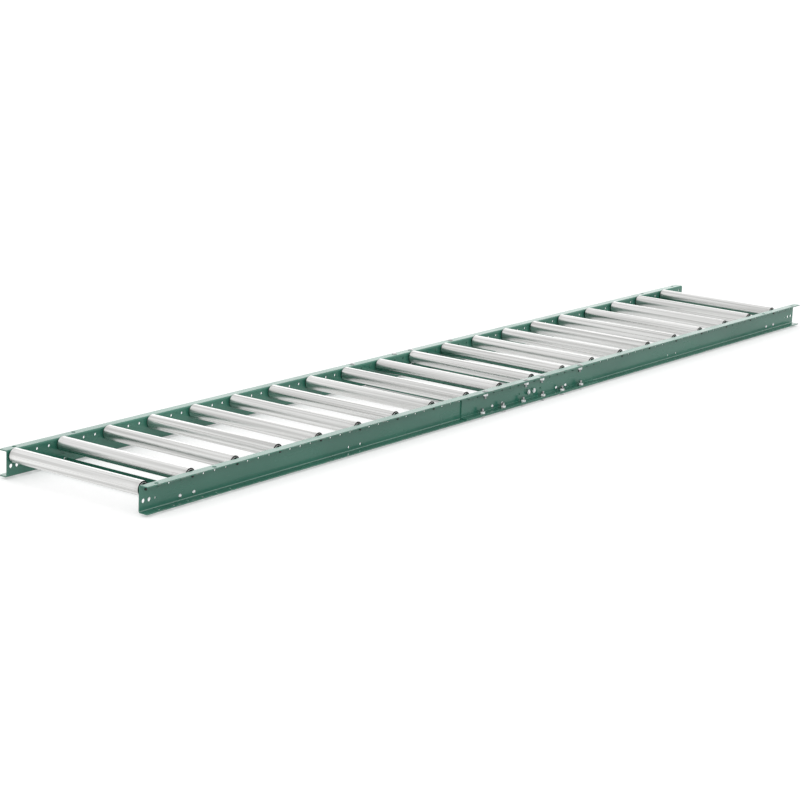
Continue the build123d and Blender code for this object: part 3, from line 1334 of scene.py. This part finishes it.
@dataclass(frozen=True)
class Lamp:
    """A soft lamp far away.

    Attributes:
        direction: Where it stands, seen from the conveyor.
        strength: Its power.
        softness: How wide it looks, in degrees.
        mirrored: Whether reflections show it.
    """

    direction: Triple
    strength: float
    softness: float
    mirrored: bool = False

    def hang(self, name: str) -> None:
        """Puts the lamp in the scene, shining from its direction.

        Formula: its Z axis is the direction at length one, its X axis is square to that and
        to the way across the conveyor, and its Y axis completes them.

        Args:
            name: Name of the lamp.
        """
        data = bpy.data.lights.new(name, "SUN")
        data.energy = self.strength
        data.angle = radians(self.softness)
        lamp = bpy.data.objects.new(name, data)
        away = np.array(self.direction) / np.linalg.norm(self.direction)
        side = np.cross([0.0, 1.0, 0.0], away)
        side /= np.linalg.norm(side)
        turn = np.stack([side, np.cross(away, side), away], axis=1)
        lamp.matrix_world = Matrix(turn.tolist()).to_4x4()
        lamp.visible_glossy = self.mirrored
        bpy.context.scene.collection.objects.link(lamp)


@dataclass
class Studio:
    """White room: floor, plain soft light and the camera at the photograph's angle.

    Attributes:
        azimuth: Camera's way round the conveyor, in degrees.
        elevation: Camera's way up, in degrees.
        roll: Camera's turn about its own line of sight, in degrees.
        focal_pixels: Focal length in pixels of the picture.
        picture: Width of the picture in pixels.
        sensor: Width of the camera's sensor, in millimetres.
        place: Camera's place, in metres.
        sight: How far the camera sees, in metres.
        room_light: Light of the room on the conveyor.
        floor_colour: Grey of the floor.
        floor_glow: Light that the floor adds where the camera or a reflection sees it.
        floor_half: Half the floor's width, in metres.
        floor_drop: How far the floor lies under the lowest bolt heads, in metres.
        lamps: The soft lamps.
    """

    azimuth: float = -53.771
    elevation: float = 13.348
    roll: float = 2.368
    focal_pixels: float = 2312.923
    picture: float = 800.0
    sensor: float = 36.0
    place: Triple = (-5.0902, -3.5077, 1.4285)
    sight: float = 400.0
    room_light: float = 0.60
    floor_colour: float = 0.62
    floor_glow: float = 0.42
    floor_half: float = 90.0
    floor_drop: float = 0.0002
    lamps: tuple[Lamp, ...] = (
        Lamp((-0.84, -0.74, 0.58), 1.15, 44.0),
        Lamp((0.10, 0.20, 1.00), 1.15, 90.0),
        Lamp((0.80, 0.54, 0.24), 0.36, 44.0, mirrored=True),
    )

    def camera(self) -> None:
        """Places the camera.

        Formula: the way back from the object has the azimuth and elevation; right is level
        and square to it, up completes them, and the roll turns right and up about it.
        """
        a, e, r = np.radians([self.azimuth, self.elevation, self.roll])
        back = np.array([np.sin(a) * np.cos(e), -np.cos(a) * np.cos(e), np.sin(e)])
        right = np.cross([0.0, 0.0, 1.0], back)
        right /= np.linalg.norm(right)
        up = np.cross(back, right)
        turn = np.eye(4)
        turn[:3, 0] = right * np.cos(r) + up * np.sin(r)
        turn[:3, 1] = up * np.cos(r) - right * np.sin(r)
        turn[:3, 2] = back
        turn[:3, 3] = self.place
        data = bpy.data.cameras.new("photo_camera")
        data.sensor_width = self.sensor
        data.lens = self.focal_pixels * self.sensor / self.picture
        data.clip_end = self.sight
        camera = bpy.data.objects.new("photo_camera", data)
        camera.matrix_world = Matrix(turn.tolist())
        bpy.context.scene.collection.objects.link(camera)
        bpy.context.scene.camera = camera

    def light_paths(self, nodes: bpy.types.Nodes, links: bpy.types.NodeLinks) -> Socket:
        """Mask of what the camera, a reflection or a clear material looks at.

        Args:
            nodes: Nodes of the tree that needs the mask.
            links: Links of that tree.

        Returns:
            One for a ray of those kinds, else 0.
        """
        path = nodes.new("ShaderNodeLightPath")
        first, second = nodes.new("ShaderNodeMath"), nodes.new("ShaderNodeMath")
        first.operation = second.operation = "MAXIMUM"
        links.new(path.outputs["Is Camera Ray"], first.inputs[0])
        links.new(path.outputs["Is Glossy Ray"], first.inputs[1])
        links.new(first.outputs["Value"], second.inputs[0])
        links.new(path.outputs["Is Transmission Ray"], second.inputs[1])
        return second.outputs["Value"]

    def room(self) -> None:
        """White surroundings for what is seen, and a plain level for what lights the object."""
        world = bpy.data.worlds.new("white_room")
        world.use_nodes = True
        nodes, links = world.node_tree.nodes, world.node_tree.links
        lit, seen = nodes["Background"], nodes.new("ShaderNodeBackground")
        for background, strength in ((lit, self.room_light), (seen, 1.0)):
            background.inputs["Color"].default_value = (*WHITE, 1.0)
            background.inputs["Strength"].default_value = strength
        mix = nodes.new("ShaderNodeMixShader")
        links.new(self.light_paths(nodes, links), mix.inputs["Fac"])
        links.new(lit.outputs["Background"], mix.inputs[1])
        links.new(seen.outputs["Background"], mix.inputs[2])
        links.new(mix.outputs["Shader"], nodes["World Output"].inputs["Surface"])
        bpy.context.scene.world = world

    def floor(self) -> None:
        """Pale matt floor, just under the lowest bolt heads."""
        half, height = self.floor_half, -self.floor_drop
        ways = ((-1, -1), (1, -1), (1, 1), (-1, 1))
        mesh = bpy.data.meshes.new("studio_floor")
        corners = [(x * half, y * half, height) for x, y in ways]
        mesh.from_pydata(corners, [], [(0, 1, 2, 3)])
        sketch = Sketch("floor_white")
        sketch.set("Base Color", (self.floor_colour,) * 3)
        sketch.set("Roughness", 1.0)
        sketch.set("Specular IOR Level", 0.0)
        sketch.set("Emission Color", WHITE)
        seen = self.light_paths(sketch.nodes, sketch.links)
        glow = sketch.combine("MULTIPLY", seen, self.floor_glow)
        sketch.feed("Emission Strength", glow)
        mesh.materials.append(sketch.material)
        floor = bpy.data.objects.new("studio_floor", mesh)
        bpy.context.scene.collection.objects.link(floor)

    def build(self) -> None:
        """Sets up the camera, the room, the floor and the lamps."""
        bpy.context.scene.view_settings.view_transform = "Standard"
        self.camera()
        self.room()
        self.floor()
        for number, lamp in enumerate(self.lamps, 1):
            lamp.hang(f"soft_lamp_{number}")


def main() -> None:
    """Builds the conveyor piece by piece."""
    logging.basicConfig(level=logging.INFO, format="%(name)s: %(message)s")
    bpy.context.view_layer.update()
    layout = Layout()
    finishes = Finishes()
    Studio().build()
    SteelFrame().paint(finishes)
    middles = layout.roller_points()
    for number, middle in enumerate(middles, 1):
        Roller().build(number, middle, finishes)
    for side in (-1, 1):
        BearingSide(side).build(middles, finishes)
    Axles().build(middles, finishes)
    Fasteners(layout).build(finishes)


if __name__ == "__main__":
    main()
